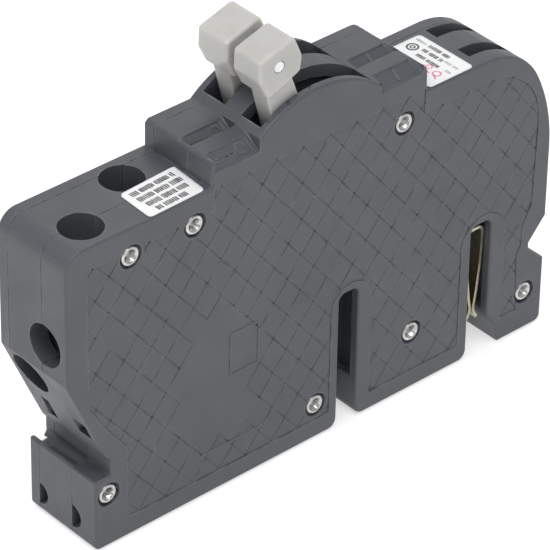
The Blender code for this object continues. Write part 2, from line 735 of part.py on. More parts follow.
def build_trip_side(pole):
    c = pole.centre
    strip_x = -18.6
    box(f"{pole.name}_bimetal", (strip_x, c - 2.0, 9.6), (strip_x + 0.8, c + 2.0, 46.0), BIMETAL)

    yoke = [(-21.4, c - 3.2), (-15.0, c - 3.2), (-15.0, c - 2.4), (-20.4, c - 2.4)]
    yoke += [(-20.4, c + 2.4), (-15.0, c + 2.4), (-15.0, c + 3.2), (-21.4, c + 3.2)]
    plate(f"{pole.name}_magnet_yoke", yoke, 22.0, 36.0, STEEL, normal="Z")

    flag = [(-13.2, 16.8), (-12.2, 16.8), (-12.2, 46.0), (-10.8, 46.0), (-10.8, 47.0), (-12.2, 47.0)]
    flag += [(-12.2, 49.0), (-13.2, 49.0)]
    armature = plate(f"{pole.name}_armature", flag, c - 2.9, c + 2.9, STEEL)
    notch = box(f"cut_{pole.name}_braid_notch", (-14, c - 3.5, 34.6), (-11, c - 0.3, 42.4), is_cutter=True)
    cut(armature, notch)
    set_origin(armature, TRIP_AXIS[0], 0, TRIP_AXIS[1])

    crank = arc(CRADLE_PIVOT, 2.6, 200, 300, 4) + [(1.2, 36.6), (1.2, 39.0), (-5.0, 39.4)]
    crank += [(-7.8, 41.0), (-8.4, 49.4), (-10.3, 49.4), (-10.4, 40.0)]
    side = 1.9
    cradle = plate(f"{pole.name}_cradle", crank, c + side - 0.7, c + side + 0.7, STRAP_BRASS)
    cut(cradle, rod(f"cut_{pole.name}_cradle_bore", "Y", CRADLE_PIVOT, PIN_RADIUS + GAP, -10, 10, sides=16,
                    is_cutter=True))
    set_origin(cradle, CRADLE_PIVOT[0], 0, CRADLE_PIVOT[1])

    rope = bpy.data.curves.new(f"{pole.name}_braid", "CURVE")
    rope.dimensions = "3D"
    rope.bevel_depth = 0.7 * MM
    rope.bevel_resolution = 2
    rope.use_fill_caps = True
    braid_y = c - 1.5
    ends = Vector((strip_x + 0.8 + 0.95, braid_y, 43.0)), Vector((-7.4, braid_y, 42.0))
    sag = 6.0
    steps = 14
    path = rope.splines.new("POLY")
    path.points.add(steps)
    for i, slot in enumerate(path.points):
        t = i / steps
        point = ends[0].lerp(ends[1], t)
        drop = sag * 4 * t * (1 - t)
        slot.co = (point.x * MM, point.y * MM, (point.z - drop) * MM, 1.0)
    braid = bpy.data.objects.new(f"{pole.name}_braid", rope)
    rope.materials.append(COPPER)
    parts.objects.link(braid)


def build_trip_bar():
    bar = rod("trip_bar", "Y", TRIP_AXIS, 1.5, -7.7, 7.7, FIBRE, sides=20)
    shade_round(bar)
    set_origin(bar, TRIP_AXIS[0], 0, TRIP_AXIS[1])


# ---------------------------------------------------------------- load side


def build_terminal(pole):
    """A rising-cage clamp: the screw turns in place and lifts the cage against the strap."""
    x, y, z = pole.screw_x, pole.terminal_y, pole.wire_z
    wall = 1.1
    cage = box(f"{pole.name}_clamp_cage", (x - 3.9, y - 4.1, z - 5.9), (x + 3.9, y + 4.1, z + 6.7), STEEL)
    window = box(
        f"cut_{pole.name}_window",
        (x - 5, y - 4.1 + wall, z - 4.6),
        (x + 5, y + 4.1 - wall, z + 5.1),
        is_cutter=True,
    )
    thread = rod(f"cut_{pole.name}_thread", "Z", (x, y), 1.9 + GAP, z + 4, z + 8, sides=16, is_cutter=True)
    cut(cage, window, thread)

    tongue_low, tongue_high = z + 3.7, z + 4.7
    shank = rod(f"{pole.name}_clamp_screw", "Z", (x, y), 1.9, tongue_high + GAP, z + 11.6, NICKEL, sides=16)
    head = rod(f"add_{pole.name}_screw_head", "Z", (x, y), 3.3, z + 11.5, z + 14.0, sides=24, is_cutter=True)
    slot = box(
        f"cut_{pole.name}_screw_slot",
        (x - 4, y - 0.5, z + 12.9),
        (x + 4, y + 0.5, z + 15),
        is_cutter=True,
    )
    join(shank, head)
    cut(shank, slot)
    set_origin(shank, x, y, z)

    strap_x, thick = -27.2, 1.0
    foot_z = 8.2
    strap = [
        (x - 3.5, tongue_low),
        (strap_x - thick, tongue_low),
        (strap_x - thick, foot_z),
        (-17.0, foot_z),
        (-17.0, foot_z + thick),
        (strap_x, foot_z + thick),
        (strap_x, tongue_high),
        (x - 3.5, tongue_high),
    ]
    low, high = sorted((pole.y(3.2), pole.y(6.2)))
    load = plate(f"{pole.name}_load_strap", strap, low, high, COPPER)
    screw_z = 16.0
    spot = (pole.y(4.75), screw_z)
    hole = rod(f"cut_{pole.name}_calibration_hole", "X", spot, 1.0 + GAP, -29, -26, sides=16, is_cutter=True)
    cut(load, hole)
    screw = rod(f"{pole.name}_calibration_screw", "X", spot, 1.0, -29.6, -19.0, NICKEL, sides=16)
    shade_round(screw)


build_case()
build_rivets()
build_labels()
build_handles()
build_trip_bar()
for pole in POLES:
    build_contact_arm(pole)
    build_line_side(pole)
    build_trip_side(pole)
    build_terminal(pole)
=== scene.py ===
"""Looks of the two-pole circuit breaker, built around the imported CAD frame.

The three mouldings, the handles, the rivets and the labels are rebuilt with fine detail.
The other CAD nodes keep their shape and get their own materials. Lengths are millimetres
unless a name says otherwise; MM turns them into metres.
"""

import json
import math
import random

import bmesh
import bpy
from mathutils import Matrix, Vector


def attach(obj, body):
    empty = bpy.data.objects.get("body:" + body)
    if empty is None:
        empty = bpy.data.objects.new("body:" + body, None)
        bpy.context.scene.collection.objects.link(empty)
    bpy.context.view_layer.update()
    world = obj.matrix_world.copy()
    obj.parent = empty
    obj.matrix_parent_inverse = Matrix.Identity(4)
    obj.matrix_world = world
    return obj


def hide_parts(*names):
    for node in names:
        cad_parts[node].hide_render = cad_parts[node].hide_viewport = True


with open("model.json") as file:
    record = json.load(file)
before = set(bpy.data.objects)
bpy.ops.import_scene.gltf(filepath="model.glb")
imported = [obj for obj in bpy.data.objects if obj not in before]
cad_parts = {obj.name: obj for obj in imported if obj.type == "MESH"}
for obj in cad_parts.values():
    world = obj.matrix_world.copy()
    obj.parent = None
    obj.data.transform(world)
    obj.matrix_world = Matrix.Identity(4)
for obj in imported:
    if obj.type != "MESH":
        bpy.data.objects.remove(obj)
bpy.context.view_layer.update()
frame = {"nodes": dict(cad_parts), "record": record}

MM = 0.001
HALF_LENGTH = 60.0
HALF_WIDTH = 9.525
TERMINAL_TOP = 68.4
NOSE_TOP = 67.6
SHOULDER = 73.9
NEAR_SPLIT = -2.7
FAR_SPLIT = 6.76
GAP = 0.3
SKIN = 0.01
SEAM = 0.09
FOOT_X = -53.8
LIP_Z = 15.8
PIVOT = (-0.7, 57.0)
HUMP_RADIUS = 22.4
SHOULDER_OFF = (-26.2, -15.4)
SHOULDER_ON = (14.0, 26.3)
SLOPE_TOPS = (-6.0, 0.9)
SLOPE_WIDTH = 3.3
SLOPE_DROP = 2.3
SLANT = SLOPE_DROP / SLOPE_WIDTH
NOSE_FRONT_RADIUS = 39.0
NOSE_FRONT_CENTRE = (HALF_LENGTH - NOSE_FRONT_RADIUS, 41.0)
NOSE_CORNER_RADIUS = 16.0
BUS_SLOTS = ((5.7, 10.5, 30.3), (39.8, 45.0, 30.6))
RIVETS = (
    (-45.0, 62.1), (-30.1, 62.2), (20.9, 62.5), (24.7, 13.2), (0.2, 7.6), (-50.6, 11.8), (55.1, 8.8)
)
COUNTERBORE_RIM = 3.1
TIE_PIN = (-9.6, 86.7)

EDGE_ROUND = 0.5
SEAM_ROUND = 0.06
OVERLAP = 0.06
WELD = 1e-7

PANEL_DEPTH = 0.12
GROOVE_DEPTH = 0.15
DIAMOND = (6.52, 7.95)
DIAMOND_START = (-43.4, 52.1)
GROOVE_WIDTH = 0.42
PIT_RADIUS = 0.28
PIT_DEPTH = 0.4

scene = bpy.context.scene
scene.view_settings.view_transform = "Standard"

# ------------------------------------------------------------------ outlines


def arc(centre, radius, start, end, steps):
    angles = [math.radians(start + (end - start) * i / steps) for i in range(steps + 1)]
    return [(centre[0] + radius * math.cos(a), centre[1] + radius * math.sin(a)) for a in angles]


def circle(centre, radius, sides):
    """A closed ring of evenly spaced points."""
    return arc(centre, radius, 0, 360 - 360 / sides, sides - 1)


def slot_edge(left, right, top, right_foot):
    corner, mouth = 1.5, 2.0
    points = list(right_foot) if right_foot else arc((right + mouth, mouth), mouth, 270, 180, 6)
    points += arc((right - corner, top - corner), corner, 0, 90, 7)
    points += arc((left + corner, top - corner), corner, 90, 180, 7)
    points += arc((left - mouth, mouth), mouth, 0, -90, 6)
    return points


def nose():
    """The nose: a corner arc that runs into a larger front arc."""
    front_x, front_z = NOSE_FRONT_CENTRE
    rise = NOSE_TOP - NOSE_CORNER_RADIUS - front_z
    between = NOSE_FRONT_RADIUS - NOSE_CORNER_RADIUS
    corner = (front_x + math.sqrt(between**2 - rise**2), front_z + rise)
    meet = math.degrees(math.asin(rise / between))
    points = arc(corner, NOSE_CORNER_RADIUS, 90, meet, 12)
    return points + arc(NOSE_FRONT_CENTRE, NOSE_FRONT_RADIUS, meet, 0, 24)[1:]


def case_outline():
    """The outline shared by the three mouldings, clockwise from the left foot, seen from -Y."""
    hump_start = math.degrees(math.asin((SHOULDER - PIVOT[1]) / HUMP_RADIUS))
    points = arc((FOOT_X + 1.2, 1.2), 1.2, 270, 180, 5)
    points += [(FOOT_X, LIP_Z), (-50.1, LIP_Z), (-50.1, 19.8), (-50.9, 19.8), (-51.7, 21.6)]
    points += [(-HALF_LENGTH, 40.2)]
    points += arc((4.0 - HALF_LENGTH, TERMINAL_TOP - 4.0), 4.0, 180, 90, 12)
    points += [(SHOULDER_OFF[0], TERMINAL_TOP), (SHOULDER_OFF[0], SHOULDER - 0.8)]
    points += [(SHOULDER_OFF[0] + 0.8, SHOULDER)]
    points += arc(PIVOT, HUMP_RADIUS, 180 - hump_start, hump_start, 48)
    points += arc((SHOULDER_ON[1] - 2.5, SHOULDER - 2.5), 2.5, 90, 0, 10)
    points += [(SHOULDER_ON[1], NOSE_TOP)]
    points += nose()
    points += [(HALF_LENGTH, 25.0), (55.8, 20.2), (55.8, 18.8), (HALF_LENGTH, 15.0)]
    points += arc((HALF_LENGTH - 1.4, 1.4), 1.4, 0, -90, 6)
    points += slot_edge(*BUS_SLOTS[1], [(48.4, 0.0), (46.8, 5.2), (BUS_SLOTS[1][1], 7.5)])
    points += slot_edge(*BUS_SLOTS[0], None)
    return points


def panel_outline():
    """The slightly sunk panel on each outer face, which holds the diamond pattern."""
    points = [(-45.9, 4.3), (-46.2, 20.6), (-51.0, 26.9), (-55.0, 33.4), (-55.0, 62.4)]
    points += [(-54.2, 63.3), (-25.6, 63.3), (-25.6, 68.0), (25.9, 68.0), (25.9, 62.7)]
    points += arc((42.4, 48.7), 14.0, 90, 0, 16)
    points += [(56.0, 33.0), (55.8, 29.2), (53.7, 25.2), (53.7, 21.2), (52.4, 18.4), (53.1, 5.5)]
    points += [(48.7, 5.5)]
    points += arc((43.0, 26.5), 5.8, 0, 180, 12)
    points += [(37.2, 4.1), (13.9, 4.1)]
    points += arc((8.8, 27.0), 5.1, 0, 180, 12)
    points += [(3.6, 4.2)]
    return points


SHARPEST_MITRE = 0.35


def offset(points, distance):
    """A closed outline moved inwards by a distance, with mitred corners."""
    area = sum(a[0] * b[1] - b[0] * a[1] for a, b in zip(points, points[1:] + points[:1]))
    turn = 1.0 if area > 0 else -1.0
    moved = []
    for before, here, after in zip(points[-1:] + points[:-1], points, points[1:] + points[:1]):
        first = Vector(here) - Vector(before)
        second = Vector(after) - Vector(here)
        first.normalize()
        second.normalize()
        normals = [Vector((-edge.y, edge.x)) * turn for edge in (first, second)]
        middle = normals[0] + normals[1]
        scale = distance / max(SHARPEST_MITRE, 0.5 * middle.length_squared)
        moved.append((here[0] + middle.x * scale, here[1] + middle.y * scale))
    return moved


# ------------------------------------------------------------------ mesh tools


def new_object(name, work):
    bmesh.ops.recalc_face_normals(work, faces=work.faces)
    mesh = bpy.data.meshes.new(name)
    work.to_mesh(mesh)
    work.free()
    made = bpy.data.objects.new(name, mesh)
    scene.collection.objects.link(made)
    return made


def add_loft(work, rings):
    """Joins closed rings of equal length into a solid with flat ends."""
    loops = [[work.verts.new(Vector(p) * MM) for p in ring] for ring in rings]
    for low, high in zip(loops, loops[1:]):
        for i in range(len(low)):
            j = (i + 1) % len(low)
            work.faces.new((low[i], low[j], high[j], high[i]))
    work.faces.new(loops[0][::-1])
    work.faces.new(loops[-1])


def rounding(radius, steps):
    """Pairs of (inset, depth) round a quarter circle, from the flat face to the side."""
    angles = [math.pi / 2 * i / steps for i in range(steps + 1)]
    return [(radius * (1 - math.sin(a)), radius * (1 - math.cos(a))) for a in angles]


def rounded_plate(name, points, low, high, low_round=0.0, high_round=0.0, steps=4):
    """An (x, z) outline given thickness along Y, with rounded edges at each end."""
    levels = []
    for inset, depth in rounding(low_round, steps) if low_round else [(0.0, 0.0)]:
        levels.append((low + depth, inset))
    for inset, depth in reversed(rounding(high_round, steps) if high_round else [(0.0, 0.0)]):
        levels.append((high - depth, inset))
    work = bmesh.new()
    rings = []
    for y, inset in levels:
        rings.append([(x, y, z) for x, z in (offset(points, inset) if inset else points)])
    add_loft(work, rings)
    return new_object(name, work)


def rod(name, centre, radius, low, high, sides=32):
    """A round bar along Y."""
    return rounded_plate(name, circle(centre, radius, sides), low, high)


def combine(target, tool, operation):
    step = target.modifiers.new("combine", "BOOLEAN")
    step.operation = operation
    step.solver = "EXACT"
    step.object = tool
    graph = bpy.context.evaluated_depsgraph_get()
    mesh = bpy.data.meshes.new_from_object(target.evaluated_get(graph))
    target.modifiers.clear()
    target.data = mesh
    bpy.data.objects.remove(tool)
    return target


def cad_solid(node):
    """A welded copy of a CAD moulding, drawn out to the parting planes. It trims a finer piece."""
    near_enough = 0.01
    work = bmesh.new()
    work.from_mesh(frame["nodes"][node].data)
    bmesh.ops.remove_doubles(work, verts=work.verts, dist=WELD)
    bmesh.ops.dissolve_degenerate(work, edges=work.edges, dist=WELD)
    for plane in (NEAR_SPLIT, FAR_SPLIT):
        for vertex in work.verts:
            beyond = vertex.co.y / MM - plane
            if abs(abs(beyond) - GAP / 2) < near_enough:
                vertex.co.y = (plane + math.copysign(SEAM / 2 - SKIN / 2, beyond)) * MM
    return new_object(f"trim_{node}", work)


def finish_surface(piece, look, body, node=None, angle=32.0):
    piece.data.materials.clear()
    piece.data.materials.append(look)
    piece.data.polygons.foreach_set("material_index", [0] * len(piece.data.polygons))
    piece.data.shade_smooth()
    piece.data.set_sharp_from_angle(angle=math.radians(angle))
    flat = piece.modifiers.new("flat_faces", "WEIGHTED_NORMAL")
    flat.keep_sharp = True
    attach(piece, body)
    if node:
        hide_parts(node)
    return piece


# ------------------------------------------------------------------ materials


class Look:
    """A node material being built, with short ways to add the usual nodes."""

    def __init__(self, name, colour, roughness, metallic=0.0):
        self.material = bpy.data.materials.new(name)
        self.material.use_nodes = True
        self.material.diffuse_color = (*colour, 1.0)
        self.nodes = self.material.node_tree.nodes
        self.links = self.material.node_tree.links
        self.shader = self.nodes["Principled BSDF"]
        self.shader.inputs["Base Color"].default_value = (*colour, 1.0)
        self.shader.inputs["Roughness"].default_value = roughness
        self.shader.inputs["Metallic"].default_value = metallic
        place = self.nodes.new("ShaderNodeTexCoord")
        scale = self.nodes.new("ShaderNodeMapping")
        scale.inputs["Scale"].default_value = (1 / MM,) * 3
        self.link(place.outputs["Object"], scale.inputs["Vector"])
        self.place = scale.outputs["Vector"]

    def link(self, start, end):
        self.links.new(start, end)

    def stretched(self, x, y, z):
        node = self.nodes.new("ShaderNodeMapping")
        node.inputs["Scale"].default_value = (x, y, z)
        self.link(self.place, node.inputs["Vector"])
        return node.outputs["Vector"]

    def noise(self, size, detail=3.0, place=None, rough=0.55):
        node = self.nodes.new("ShaderNodeTexNoise")
        node.inputs["Scale"].default_value = 1.0 / size
        node.inputs["Detail"].default_value = detail
        node.inputs["Roughness"].default_value = rough
        self.link(place or self.place, node.inputs["Vector"])
        return node.outputs["Fac"]

    def remap(self, value, low, high, to_low=0.0, to_high=1.0):
        node = self.nodes.new("ShaderNodeMapRange")
        ends = {"From Min": low, "From Max": high, "To Min": to_low, "To Max": to_high}
        for name, number in ends.items():
            node.inputs[name].default_value = number
        self.link(value, node.inputs["Value"])
        return node.outputs["Result"]

    def times(self, a, b):
        node = self.nodes.new("ShaderNodeMath")
        node.operation = "MULTIPLY"
        for slot, value in zip(node.inputs, (a, b)):
            if isinstance(value, (int, float)):
                slot.default_value = value
            else:
                self.link(value, slot)
        return node.outputs["Value"]

    def mix(self, share, a, b):
        node = self.nodes.new("ShaderNodeMix")
        node.data_type = "RGBA"
        for slot, value in (("Factor", share), ("A", a), ("B", b)):
            socket = [s for s in node.inputs if s.name == slot and s.enabled][0]
            if isinstance(value, tuple):
                socket.default_value = (*value, 1.0)
            elif isinstance(value, (int, float)):
                socket.default_value = value
            else:
                self.link(value, socket)
        return [s for s in node.outputs if s.name == "Result" and s.enabled][0]

    def edges(self, radius, low, high):
        """1 on sharp outer and inner edges and 0 on flat faces."""
        soft = self.nodes.new("ShaderNodeBevel")
        soft.samples = 6
        soft.inputs["Radius"].default_value = radius * MM
        real = self.nodes.new("ShaderNodeNewGeometry")
        dot = self.nodes.new("ShaderNodeVectorMath")
        dot.operation = "DOT_PRODUCT"
        self.link(soft.outputs["Normal"], dot.inputs[0])
        self.link(real.outputs["Normal"], dot.inputs[1])
        return self.remap(dot.outputs["Value"], high, low)

    def bump(self, height, distance, under=None):
        node = self.nodes.new("ShaderNodeBump")
        node.inputs["Strength"].default_value = 1.0
        node.inputs["Distance"].default_value = distance * MM
        self.link(height, node.inputs["Height"])
        if under:
            self.link(under, node.inputs["Normal"])
        return node.outputs["Normal"]

    def use(self, **sockets):
        names = {"colour": "Base Color", "roughness": "Roughness", "normal": "Normal"}
        for name, value in sockets.items():
            self.link(value, self.shader.inputs[names[name]])
        return self.material

    def set(self, name, value):
        self.shader.inputs[name].default_value = value


def case_look():
    """Charcoal plastic: cloudy, finely grained, with pale specks, and edges lightened partly by
    wear and partly by a painted highlight.
    """
    dark, light = (0.058, 0.0625, 0.072), (0.070, 0.0755, 0.086)
    dust, wear_and_highlight = (0.13, 0.136, 0.148), (0.25, 0.26, 0.275)
    look = Look("case_plastic", (0.064, 0.069, 0.079), 0.46)
    cloud = look.remap(look.noise(26.0, 4.0), 0.3, 0.7)
    colour = look.mix(cloud, dark, light)
    speck = look.remap(look.noise(0.35, 2.0), 0.62, 0.80)
    colour = look.mix(look.times(speck, 0.25), colour, dust)
    # Partly wear and partly a painted highlight: the edges are lightened in patches towards a pale
    # grey.
    worn = look.edges(0.55, 0.60, 0.99)
    patchy = look.remap(look.noise(2.2, 5.0), 0.38, 0.66)
    worn = look.times(worn, patchy)
    colour = look.mix(look.times(worn, 0.85), colour, wear_and_highlight)
    rough = look.remap(look.noise(6.0, 5.0), 0.25, 0.75, 0.40, 0.56)
    grain = look.bump(look.noise(0.22, 3.0, rough=0.7), 0.012)
    waves = look.bump(look.noise(9.0, 2.0), 0.05, under=grain)
    return look.use(colour=colour, roughness=rough, normal=waves)


def handle_look():
    """Pale grey, slightly clear plastic with brownish stains, and a painted highlight that makes
    the edges paler.
    """
    dark, light = (0.42, 0.417, 0.405), (0.47, 0.467, 0.457)
    brown, dirt, pale = (0.46, 0.40, 0.32), (0.30, 0.27, 0.22), (0.60, 0.595, 0.575)
    look = Look("handle_plastic", (0.47, 0.468, 0.455), 0.36)
    cloud = look.remap(look.noise(7.0, 3.0), 0.3, 0.7)
    colour = look.mix(cloud, dark, light)
    stain = look.times(look.remap(look.noise(3.2, 4.0), 0.56, 0.74), 0.45)
    colour = look.mix(stain, colour, brown)
    speck = look.remap(look.noise(0.5, 3.0), 0.70, 0.78)
    colour = look.mix(look.times(speck, 0.3), colour, dirt)
    # Painted highlight: the edges are mixed halfway towards a pale grey.
    colour = look.mix(look.times(look.edges(0.3, 0.6, 0.98), 0.5), colour, pale)
    look.set("Subsurface Weight", 0.65)
    look.set("Subsurface Radius", (1.0, 0.8, 0.6))
    look.set("Subsurface Scale", 0.003)
    rough = look.remap(look.noise(2.5, 4.0), 0.25, 0.75, 0.30, 0.44)
    grain = look.bump(look.noise(0.4, 3.0), 0.006)
    waves = look.bump(look.noise(5.0), 0.05, under=grain)
    return look.use(colour=colour, roughness=rough, normal=waves)


def pin_look():
    look = Look("pin_plastic", (0.80, 0.80, 0.82), 0.4)
    cloud = look.remap(look.noise(1.2, 4.0), 0.3, 0.7)
    colour = look.mix(cloud, (0.76, 0.765, 0.79), (0.86, 0.865, 0.88))
    return look.use(colour=colour, normal=look.bump(look.noise(0.3), 0.008))


def metal_look(name, dark, light, roughness, patch=3.0, scratch=(1.0, 1.0, 12.0), bump=0.006):
    """A plated or rolled metal: cloudy tarnish with fine scratches along one way."""
    look = Look(name, light, roughness, 1.0)
    cloud = look.remap(look.noise(patch, 5.0), 0.32, 0.68)
    colour = look.mix(cloud, dark, light)
    lines = look.noise(0.9, 5.0, look.stretched(*scratch), 0.7)
    rough = look.remap(lines, 0.3, 0.7, roughness * 0.75, min(1.0, roughness * 1.35))
    return look.use(colour=colour, roughness=rough, normal=look.bump(lines, bump))


def fibre_look():
    look = Look("fibre", (0.36, 0.14, 0.08), 0.8)
    strands = look.noise(0.8, 5.0, look.stretched(1.0, 1.0, 6.0), 0.7)
    colour = look.mix(look.remap(strands, 0.3, 0.7), (0.27, 0.095, 0.05), (0.43, 0.19, 0.11))
    return look.use(colour=colour, normal=look.bump(strands, 0.03))


def paper_look():
    look = Look("label_paper", (0.76, 0.76, 0.77), 0.55)
    fibres = look.noise(0.45, 4.0, look.stretched(1.0, 2.2, 1.0), 0.65)
    colour = look.mix(look.remap(fibres, 0.3, 0.7), (0.72, 0.725, 0.735), (0.80, 0.802, 0.805))
    return look.use(colour=colour, normal=look.bump(fibres, 0.006))


def ink_look(name, dark, light):
    look = Look(name, dark, 0.6)
    worn = look.remap(look.noise(0.25, 3.0), 0.42, 0.62)
    return look.use(colour=look.mix(worn, dark, light), normal=look.bump(look.noise(0.2), 0.004))


def floor_look():
    look = Look("pale_floor", (0.60, 0.60, 0.60), 0.85)
    cloud = look.remap(look.noise(40.0, 3.0), 0.3, 0.7)
    colour = look.mix(cloud, (0.595, 0.595, 0.595), (0.605, 0.605, 0.605))
    look.set("Emission Color", (1.0, 1.0, 1.0, 1.0))
    look.set("Emission Strength", 0.55)
    return look.use(colour=colour)


LOOKS = {
    "case_plastic": case_look(),
    "handle_plastic": handle_look(),
    "pin_plastic": pin_look(),
    "fibre": fibre_look(),
    "label_paper": paper_look(),
}
METALS = (
    ("nickel", (0.42, 0.41, 0.40), (0.64, 0.635, 0.625), 0.22, {"patch": 1.2, "bump": 0.004}),
    ("jaw_brass", (0.36, 0.34, 0.24), (0.58, 0.55, 0.42), 0.30, {"scratch": (1.0, 9.0, 1.0)}),
    ("strap_brass", (0.50, 0.38, 0.19), (0.72, 0.58, 0.33), 0.33, {}),
    ("copper", (0.55, 0.27, 0.16), (0.80, 0.45, 0.30), 0.30, {}),
    ("steel", (0.42, 0.43, 0.44), (0.62, 0.63, 0.64), 0.34, {}),
    ("contact_silver", (0.70, 0.69, 0.65), (0.90, 0.89, 0.86), 0.25, {"patch": 0.8}),
    ("bimetal_strip", (0.46, 0.43, 0.37), (0.68, 0.65, 0.58), 0.28, {}),
)
for metal, dark, light, roughness, more in METALS:
    LOOKS[metal] = metal_look(metal, dark, light, roughness, **more)
INK = ink_look("dark_print", (0.035, 0.037, 0.043), (0.14, 0.143, 0.155))
FAINT_INK = ink_look("faint_print", (0.28, 0.285, 0.30), (0.52, 0.525, 0.54))
STAMP = ink_look("red_stamp", (0.72, 0.10, 0.26), (0.80, 0.38, 0.50))

for entry in frame["record"]["subparts"]:
    node = frame["nodes"][entry["node"]]
    node.data.materials.clear()
    node.data.materials.append(LOOKS[entry["material_slot"]])

# ------------------------------------------------------------------ diamond panel


def in_outline(point, outline):
    """True where a point lies inside a closed outline."""
    x, z = point
    inside = False
    for (x1, z1), (x2, z2) in zip(outline, outline[1:] + outline[:1]):
        if (z1 > z) != (z2 > z) and x < (x2 - x1) * (z - z1) / (z2 - z1) + x1:
            inside = not inside
    return inside


BLANK_PATCHES = (
    (
        (-30.5, 42.6), (-22.0, 41.0), (-15.4, 34.6), (-10.6, 27.2), (-16.6, 20.3), (-13.7, 15.2),
        (-12.6, 8.6), (-28.8, 9.0), (-35.0, 22.4),
    ),
    ((-54.8, 50.4), (-48.1, 49.9), (-43.7, 45.3), (-46.8, 40.8), (-54.8, 40.4)),
)
CELL = (DIAMOND[0] / 2, DIAMOND[1] / 2)
COLUMNS = range(-6, 34)
ROWS = range(-14, 8)
CORNER_STEPS = ((1, 0), (0, 1), (-1, 0), (0, -1))
BOSS_PROUD = 0.003


def lattice_point(i, j):
    """A place counted in half diamonds: i + j is odd on a diamond and even on a crossing."""
    return (DIAMOND_START[0] + CELL[0] * i, DIAMOND_START[1] + CELL[1] * j)


def lattice_places(odd):
    beyond = 2.0
    for j in ROWS:
        for i in COLUMNS:
            x, z = lattice_point(i, j)
            if (i + j) % 2 == odd and abs(x) < HALF_LENGTH + beyond and -beyond < z < 72:
                yield i, j


def outer_edge(cells):
    """The lattice places round a group of touching diamonds, in order."""
    edges = set()
    for i, j in cells:
        corners = [(i + a, j + b) for a, b in CORNER_STEPS]
        edges.update(zip(corners, corners[1:] + corners[:1]))
    follow = {start: end for start, end in edges if (end, start) not in edges}
    loop = [min(follow)]
    while follow[loop[-1]] != loop[0]:
        loop.append(follow[loop[-1]])
    return [lattice_point(*place) for place in loop]


def diamond_pads(name, face):
    """The raised diamonds of one panel, and the plain patches between them."""
    diamonds = list(lattice_places(1))
    blank = [[c for c in diamonds if in_outline(lattice_point(*c), p)] for p in BLANK_PATCHES]
    shapes = [outer_edge(group) for group in blank]
    for i, j in diamonds:
        if not any((i, j) in group for group in blank):
            shapes.append([lattice_point(i + a, j + b) for a, b in CORNER_STEPS])
    work = bmesh.new()
    for shape in shapes:
        rings = []
        for depth, inset in ((GROOVE_DEPTH + OVERLAP, OVERLAP), (0.0, GROOVE_WIDTH / 2)):
            y = face + PANEL_DEPTH + depth
            rings.append([(x, y, z) for x, z in offset(shape, inset)])
        add_loft(work, rings)
    return new_object(name, work)


def border_places(outline):
    """Where the steep lattice lines run out through the panel's upper border."""
    steps = 500
    first_row, row_span = -1.0, 6.0
    upper_part = 55
    for line in range(-12, 34, 2):
        rows = (i * row_span / steps + first_row for i in range(steps))
        track = [lattice_point(line + j, j) for j in rows]
        inside = [spot for spot in track if in_outline(spot, outline)]
        if inside and inside[-1] is not track[-1] and inside[-1][1] > upper_part:
            yield inside[-1]


def lattice_pits(name, face, floor):
    """Small cones that deepen the lattice at its crossings and at the upper border."""
    sides = 10
    tip_radius, start_above, start_wider = 0.12, 0.3, 0.08
    clear_of_rivet = 3.3
    outline = panel_outline()
    inner = offset(outline, 0.6)
    spots = []
    for place in lattice_places(0):
        spot = lattice_point(*place)
        around = [lattice_point(place[0] + a, place[1] + b) for a, b in CORNER_STEPS]
        plain = [cell for cell in around for patch in BLANK_PATCHES if in_outline(cell, patch)]
        if in_outline(spot, inner) and len(plain) < 3:
            spots.append((spot, PIT_RADIUS))
    spots += [(spot, 1.3 * PIT_RADIUS) for spot in border_places(outline)]
    work = bmesh.new()
    for spot, radius in spots:
        if min(math.dist(spot, rivet) for rivet in RIVETS) < clear_of_rivet:
            continue
        rings = []
        for depth, size in ((-start_above, radius + start_wider), (floor + PIT_DEPTH, tip_radius)):
            rings.append([(x, face + depth, z) for x, z in circle(spot, size, sides)])
        add_loft(work, rings)
    return new_object(name, work)


def cut_panel(moulding):
    """Sinks the panel into a cover's outer face, which looks along -Y, and adds the diamonds."""
    face = SKIN - HALF_WIDTH
    floor = PANEL_DEPTH + GROOVE_DEPTH
    outer = panel_outline()

    def slab(name, points, near, far):
        return rounded_plate(name, points, face + near, face + far)

    combine(moulding, slab("pocket", outer, -1.0, floor), "DIFFERENCE")
    pads = diamond_pads("pads", face)
    for number, (x, z) in enumerate(RIVETS):
        low, high = face + PANEL_DEPTH - BOSS_PROUD, face + floor + OVERLAP
        combine(pads, rod(f"ring_{number}", (x, z), COUNTERBORE_RIM, low, high), "UNION")
    combine(pads, slab("panel", offset(outer, 0.1), -0.5, floor + 0.5), "INTERSECT")
    combine(moulding, pads, "UNION")
    combine(moulding, lattice_pits("pits", face, floor), "DIFFERENCE")
    for number, line in enumerate(RAISED_LINES):
        ridge = slab(f"ridge_{number}", line, PANEL_DEPTH - RIDGE, PANEL_DEPTH + 0.02)
        combine(moulding, ridge, "UNION")


def line_strip(start, end):
    """The outline of a straight narrow strip."""
    along = (Vector(end) - Vector(start)).normalized()
    side = Vector((-along.y, along.x)) * (RIDGE_WIDTH / 2)
    corners = (Vector(start) - side, Vector(end) - side, Vector(end) + side, Vector(start) + side)
    return [tuple(corner) for corner in corners]


RIDGE = 0.1
RIDGE_WIDTH = 0.34
SQUARE = ((-21.4, 34.1), (-21.4, 24.9), (-14.6, 24.9), (-14.6, 34.1))
RAISED_LINES = [line_strip((-28.2, 9.5), (-13.4, 9.5))]
RAISED_LINES += [line_strip(a, b) for a, b in zip(SQUARE, SQUARE[1:] + SQUARE[:1])]


# ------------------------------------------------------------------ marks beside the handles


